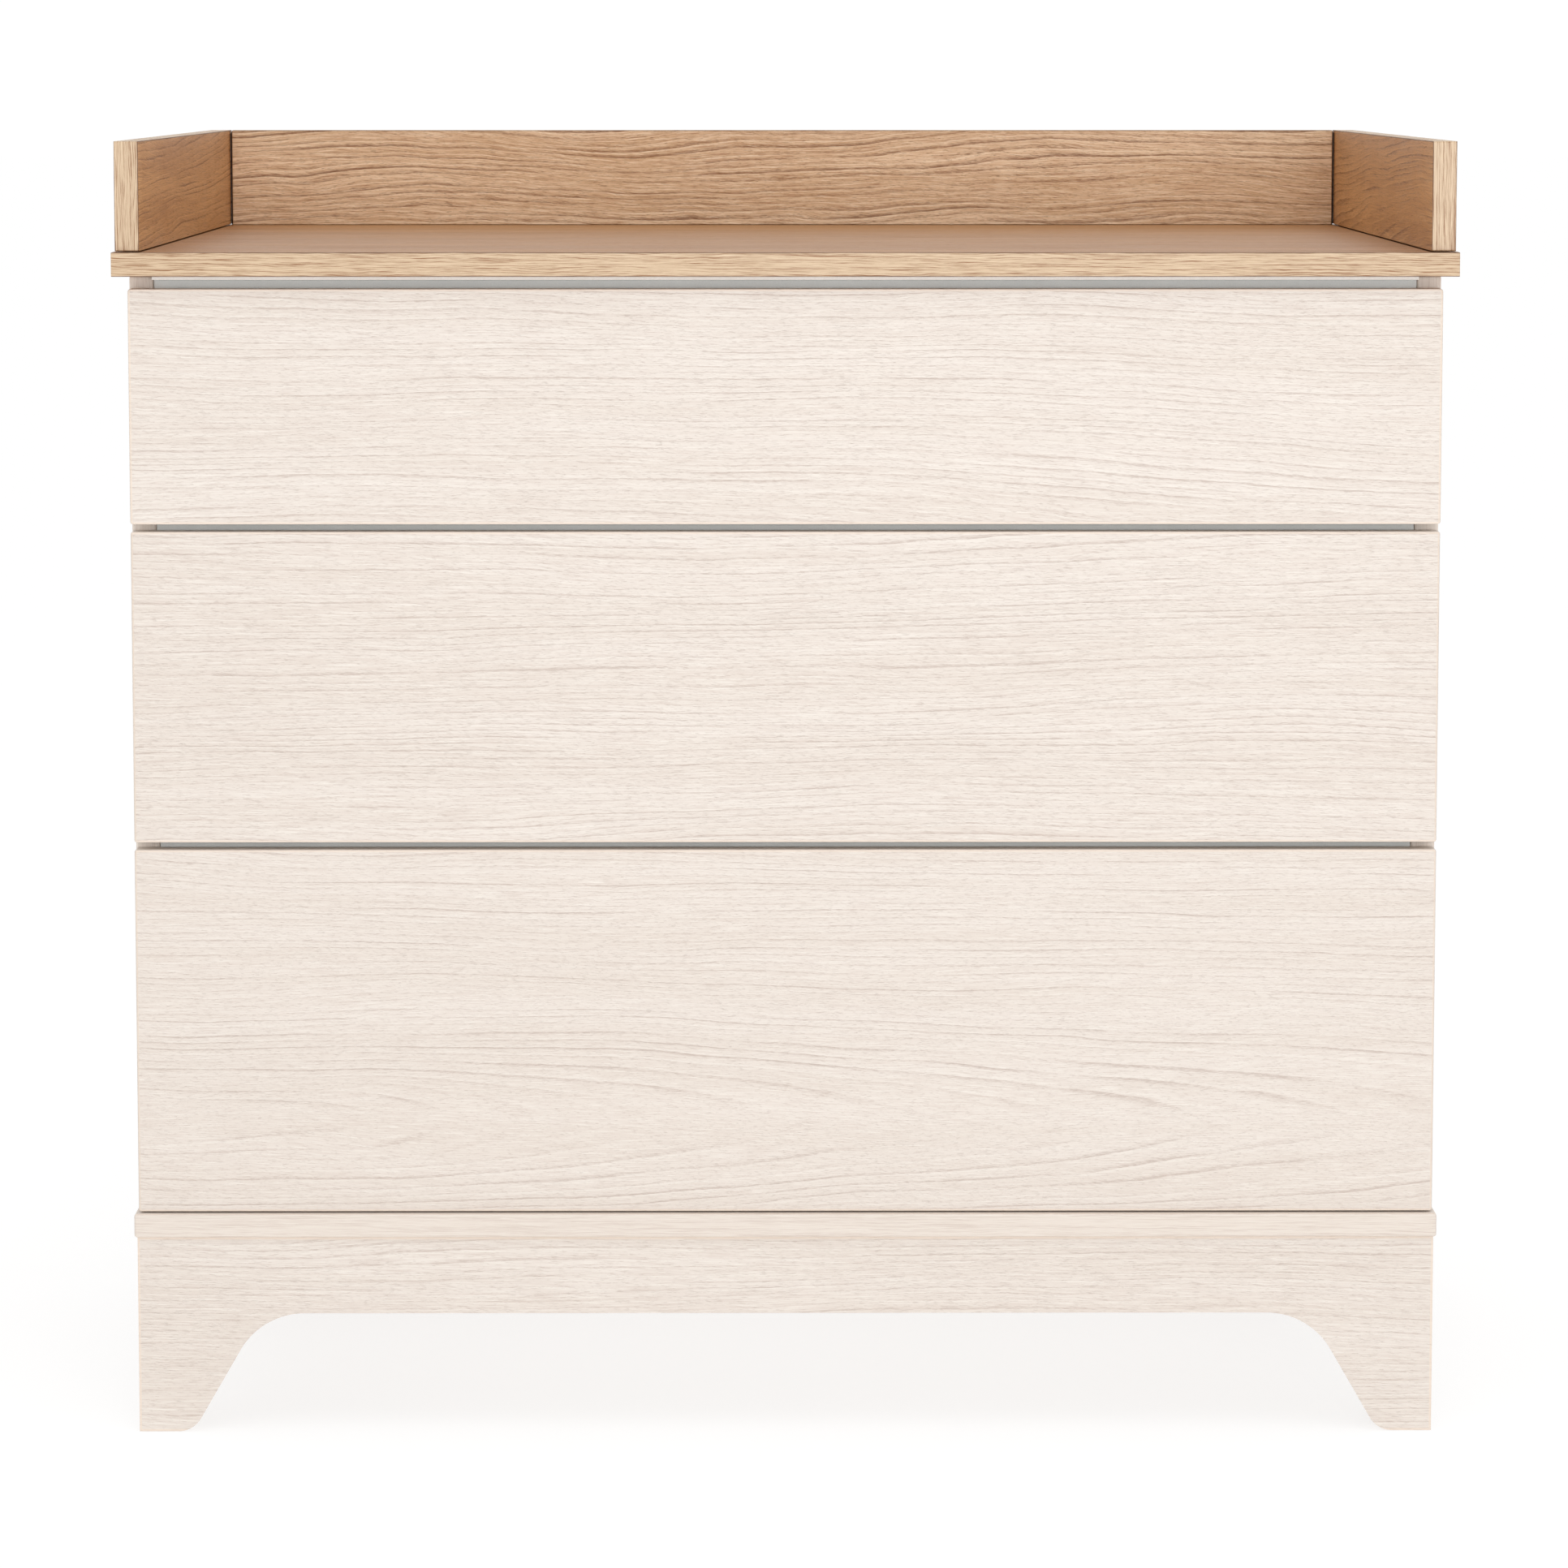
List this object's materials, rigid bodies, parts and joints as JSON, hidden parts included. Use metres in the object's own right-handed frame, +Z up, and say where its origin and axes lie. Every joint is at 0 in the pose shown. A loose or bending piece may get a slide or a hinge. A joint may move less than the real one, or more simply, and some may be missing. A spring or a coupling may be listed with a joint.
{
  "type": "changing table",
  "caption": "Wide drawer dresser on an arched plinth in pale wood laminate, with handle-less sliding drawers and an oak changing top with low walls on the sides and back.",
  "frame": {"origin": "on the floor, under the middle of the changing board's outline", "axes": "+X to the right seen from the front, +Y to the back (the drawers open towards -Y), +Z up"},
  "size_m": [1, 0.74, 0.975],
  "materials": {
    "white_laminate": "satin white-washed wood laminate with fine pinkish-beige grain",
    "oak_laminate": "satin natural oak laminate with brown grain and pores",
    "grey_laminate": "matte plain light grey laminate",
    "white_hardboard": "thin hardboard, painted matte white",
    "drawer_box_white": "satin white foil on particle board",
    "zinc_plated_steel": "bright zinc-plated sheet steel",
    "grey_plastic": "moulded matte grey plastic",
    "white_plastic": "moulded matte white plastic"
  },
  "bodies": {
    "carcass": {"plinth_front": "white_laminate", "plinth_back": "white_laminate", "plinth_left": "white_laminate", "plinth_right": "white_laminate", "base_board": "white_laminate", "side_panel_left": "white_laminate", "side_panel_right": "white_laminate", "back_panel": "white_hardboard", "top_panel": "white_hardboard", "rail_rear": "white_laminate", "rail_top": "grey_laminate", "rail_middle": "grey_laminate", "rail_lower": "grey_laminate", "changing_board": "oak_laminate", "tray_wall_left": "oak_laminate", "tray_wall_right": "oak_laminate", "tray_wall_back": "oak_laminate", "tray_screw_left": "zinc_plated_steel", "tray_screw_right": "zinc_plated_steel", "wall_bracket_left": "zinc_plated_steel", "wall_bracket_right": "zinc_plated_steel", "slide_top_cabinet_left": "zinc_plated_steel", "slide_top_cabinet_right": "zinc_plated_steel", "latch_top_housing": "grey_plastic", "slide_middle_cabinet_left": "zinc_plated_steel", "slide_middle_cabinet_right": "zinc_plated_steel", "latch_middle_housing": "grey_plastic", "slide_bottom_cabinet_left": "zinc_plated_steel", "slide_bottom_cabinet_right": "zinc_plated_steel", "latch_bottom_housing": "grey_plastic"},
    "drawer_top": {"drawer_top_front": "white_laminate", "drawer_top_side_left": "drawer_box_white", "drawer_top_side_right": "drawer_box_white", "drawer_top_back": "drawer_box_white", "drawer_top_bottom": "white_hardboard", "slide_top_drawer_left": "zinc_plated_steel", "slide_top_drawer_right": "zinc_plated_steel"},
    "slide_top_middles": {"slide_top_middle_left": "zinc_plated_steel", "slide_top_middle_right": "zinc_plated_steel"},
    "plunger_top": {"latch_top_plunger": "white_plastic"},
    "drawer_middle": {"drawer_middle_front": "white_laminate", "drawer_middle_side_left": "drawer_box_white", "drawer_middle_side_right": "drawer_box_white", "drawer_middle_back": "drawer_box_white", "drawer_middle_bottom": "white_hardboard", "slide_middle_drawer_left": "zinc_plated_steel", "slide_middle_drawer_right": "zinc_plated_steel"},
    "slide_middle_middles": {"slide_middle_middle_left": "zinc_plated_steel", "slide_middle_middle_right": "zinc_plated_steel"},
    "plunger_middle": {"latch_middle_plunger": "white_plastic"},
    "drawer_bottom": {"drawer_bottom_front": "white_laminate", "drawer_bottom_side_left": "drawer_box_white", "drawer_bottom_side_right": "drawer_box_white", "drawer_bottom_back": "drawer_box_white", "drawer_bottom_bottom": "white_hardboard", "slide_bottom_drawer_left": "zinc_plated_steel", "slide_bottom_drawer_right": "zinc_plated_steel"},
    "slide_bottom_middles": {"slide_bottom_middle_left": "zinc_plated_steel", "slide_bottom_middle_right": "zinc_plated_steel"},
    "plunger_bottom": {"latch_bottom_plunger": "white_plastic"}
  },
  "joints": [
    {"name": "drawer_top_slide", "type": "slide", "parent": "carcass", "child": "drawer_top", "axis": [0, -1, 0], "range_m": [0, 0.4]},
    {"name": "drawer_middle_slide", "type": "slide", "parent": "carcass", "child": "drawer_middle", "axis": [0, -1, 0], "range_m": [0, 0.4]},
    {"name": "drawer_bottom_slide", "type": "slide", "parent": "carcass", "child": "drawer_bottom", "axis": [0, -1, 0], "range_m": [0, 0.4]},
    {"name": "slide_top_middles_travel", "type": "slide", "parent": "carcass", "child": "slide_top_middles", "axis": [0, -1, 0], "range_m": [0, 0.2]},
    {"name": "slide_middle_middles_travel", "type": "slide", "parent": "carcass", "child": "slide_middle_middles", "axis": [0, -1, 0], "range_m": [0, 0.2]},
    {"name": "slide_bottom_middles_travel", "type": "slide", "parent": "carcass", "child": "slide_bottom_middles", "axis": [0, -1, 0], "range_m": [0, 0.2]},
    {"name": "plunger_top_stroke", "type": "slide", "parent": "carcass", "child": "plunger_top", "axis": [0, -1, 0], "range_m": [0, 0.04]},
    {"name": "plunger_middle_stroke", "type": "slide", "parent": "carcass", "child": "plunger_middle", "axis": [0, -1, 0], "range_m": [0, 0.04]},
    {"name": "plunger_bottom_stroke", "type": "slide", "parent": "carcass", "child": "plunger_bottom", "axis": [0, -1, 0], "range_m": [0, 0.04]}
  ],
  "couplings": [
    {"joint": "slide_top_middles_travel", "follows": "drawer_top_slide", "ratio": 0.5},
    {"joint": "slide_middle_middles_travel", "follows": "drawer_middle_slide", "ratio": 0.5},
    {"joint": "slide_bottom_middles_travel", "follows": "drawer_bottom_slide", "ratio": 0.5},
    {"joint": "plunger_top_stroke", "follows": "drawer_top_slide", "ratio": 0.1},
    {"joint": "plunger_middle_stroke", "follows": "drawer_middle_slide", "ratio": 0.1},
    {"joint": "plunger_bottom_stroke", "follows": "drawer_bottom_slide", "ratio": 0.1}
  ]
}
